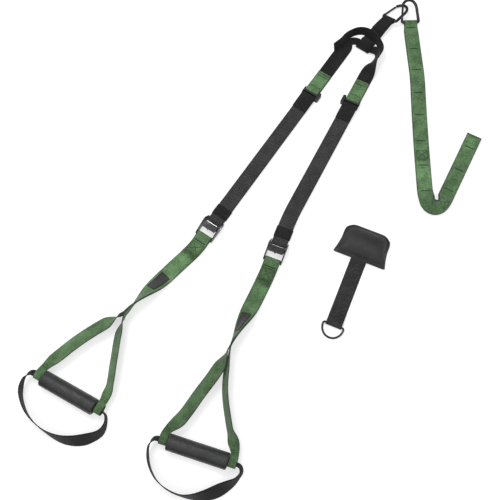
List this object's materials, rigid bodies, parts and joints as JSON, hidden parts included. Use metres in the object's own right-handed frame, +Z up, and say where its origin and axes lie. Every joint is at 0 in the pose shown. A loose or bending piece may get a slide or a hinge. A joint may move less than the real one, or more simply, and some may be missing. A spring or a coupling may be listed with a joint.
{
  "type": "suspension trainer",
  "caption": "Suspension trainer: webbing legs with cam buckles, foam handles and foot cradles, a doubled anchor strap on linked carabiners and a separate door anchor.",
  "frame": {"origin": "middle of the laid-out object's box, on the floor it lies on", "axes": "+Z up, away from the floor; +Y towards the carabiners, as in the picture; +X to the right of the picture"},
  "size_m": [1.0848, 1.2736, 0.0395],
  "materials": {
    "green_webbing": "ribbed polyester webbing, matt",
    "black_webbing": "black polyester webbing, matt",
    "grey_webbing": "dark grey polyester webbing, matt",
    "black_metal": "black coated steel, satin",
    "steel": "bright steel pin",
    "black_plastic": "black moulded plastic, matt",
    "grip_foam": "dark foam rubber, finely pored",
    "pad_cloth": "black woven cover cloth",
    "patch_cloth": "dark grey woven cloth"
  },
  "bodies": {
    "straps": {"anchor_strap": "green_webbing", "upper_carabiner": "black_metal", "lower_carabiner": "black_metal", "body_strap": "black_webbing", "left_main_strap": "black_webbing", "right_main_strap": "black_webbing", "locking_loop": "black_webbing", "door_pad": "pad_cloth", "door_strap": "grey_webbing"},
    "upper_gate": {"upper_gate": "black_metal"},
    "lower_gate": {"lower_gate": "black_metal"},
    "door_ring": {"door_ring": "black_metal"},
    "left_buckle": {"left_buckle_frame": "black_metal", "left_buckle_axle": "steel", "left_keeper": "black_webbing", "left_front_strap": "grey_webbing"},
    "left_adjuster": {"left_adjuster_slide": "black_plastic", "left_tab": "green_webbing", "left_sewn_end": "black_webbing"},
    "left_lever": {"left_cam_lever": "black_metal"},
    "left_yoke": {"left_yoke": "green_webbing", "left_yoke_front": "green_webbing", "left_patch": "patch_cloth"},
    "left_grip": {"left_grip": "grip_foam", "left_grip_core": "black_plastic"},
    "left_cradle": {"left_foot_cradle": "black_webbing"},
    "right_buckle": {"right_buckle_frame": "black_metal", "right_buckle_axle": "steel", "right_keeper": "black_webbing", "right_front_strap": "grey_webbing"},
    "right_adjuster": {"right_adjuster_slide": "black_plastic", "right_tab": "green_webbing", "right_sewn_end": "black_webbing"},
    "right_lever": {"right_cam_lever": "black_metal"},
    "right_yoke": {"right_yoke": "green_webbing", "right_yoke_front": "green_webbing", "right_patch": "patch_cloth"},
    "right_grip": {"right_grip": "grip_foam", "right_grip_core": "black_plastic"},
    "right_cradle": {"right_foot_cradle": "black_webbing"}
  },
  "joints": [
    {"name": "upper_gate_hinge", "type": "hinge", "parent": "straps", "child": "upper_gate", "pos_m": [0.36783, 0.57826, 0.00833], "axis": [-0.0053, 0.2031, -0.9791], "range_deg": [0, 4], "stiffness_Nm_per_rad": 0.3, "springref_deg": -11.46},
    {"name": "lower_gate_hinge", "type": "hinge", "parent": "straps", "child": "lower_gate", "pos_m": [0.32411, 0.59774, 0.00526], "axis": [0.1824, -0.254, -0.9498], "range_deg": [0, 28], "stiffness_Nm_per_rad": 0.3, "springref_deg": -11.46},
    {"name": "door_ring_hinge", "type": "hinge", "parent": "straps", "child": "door_ring", "pos_m": [0.1507, -0.25943, 0.0047], "axis": [-0.9232, 0.3843, 0], "range_deg": [-150, 150]},
    {"name": "left_length_slide", "type": "slide", "parent": "straps", "child": "left_buckle", "axis": [-0.5578, -0.83, 0], "range_m": [-0.028, 0.3], "deforming": ["left_main_strap"]},
    {"name": "left_adjuster_slide", "type": "slide", "parent": "left_buckle", "child": "left_adjuster", "axis": [-0.5577, -0.83, 0], "range_m": [-0.028, 0.3], "deforming": ["left_front_strap"]},
    {"name": "left_lever_hinge", "type": "hinge", "parent": "left_buckle", "child": "left_lever", "pos_m": [-0.13009, -0.01569, 0.0154], "axis": [0.83, -0.5577, 0], "range_deg": [0, 28], "stiffness_Nm_per_rad": 0.5, "springref_deg": -17.19},
    {"name": "left_yoke_hinge", "type": "hinge", "parent": "left_buckle", "child": "left_yoke", "pos_m": [-0.14849, -0.04308, 0.0058], "axis": [-0.83, 0.5577, 0], "range_deg": [-80, 80]},
    {"name": "left_grip_spin", "type": "hinge", "parent": "left_yoke", "child": "left_grip", "pos_m": [-0.43549, -0.41408, 0.0185], "axis": [-0.8796, 0.4756, 0], "continuous": true},
    {"name": "left_cradle_hinge", "type": "hinge", "parent": "left_yoke", "child": "left_cradle", "pos_m": [-0.43549, -0.41408, 0.0185], "axis": [0.8796, -0.4756, 0], "range_deg": [-120, 120]},
    {"name": "right_length_slide", "type": "slide", "parent": "straps", "child": "right_buckle", "axis": [-0.4617, -0.887, 0], "range_m": [-0.008, 0.3], "deforming": ["right_main_strap"]},
    {"name": "right_adjuster_slide", "type": "slide", "parent": "right_buckle", "child": "right_adjuster", "axis": [-0.4617, -0.887, 0], "range_m": [-0.008, 0.3], "deforming": ["right_front_strap"]},
    {"name": "right_lever_hinge", "type": "hinge", "parent": "right_buckle", "child": "right_lever", "pos_m": [0.02515, -0.07315, 0.0154], "axis": [0.9317, -0.3633, 0], "range_deg": [0, 28], "stiffness_Nm_per_rad": 0.5, "springref_deg": -17.19},
    {"name": "right_yoke_hinge", "type": "hinge", "parent": "right_buckle", "child": "right_yoke", "pos_m": [0.01316, -0.1039, 0.0058], "axis": [-0.9317, 0.3633, 0], "range_deg": [-80, 80]},
    {"name": "right_grip_spin", "type": "hinge", "parent": "right_yoke", "child": "right_grip", "pos_m": [-0.15084, -0.5379, 0.0185], "axis": [-0.9532, 0.3024, 0], "continuous": true},
    {"name": "right_cradle_hinge", "type": "hinge", "parent": "right_yoke", "child": "right_cradle", "pos_m": [-0.15084, -0.5379, 0.0185], "axis": [0.9532, -0.3024, 0], "range_deg": [-120, 120]}
  ],
  "couplings": [
    {"joint": "left_adjuster_slide", "follows": "left_length_slide", "ratio": 1},
    {"joint": "right_adjuster_slide", "follows": "right_length_slide", "ratio": 1}
  ]
}
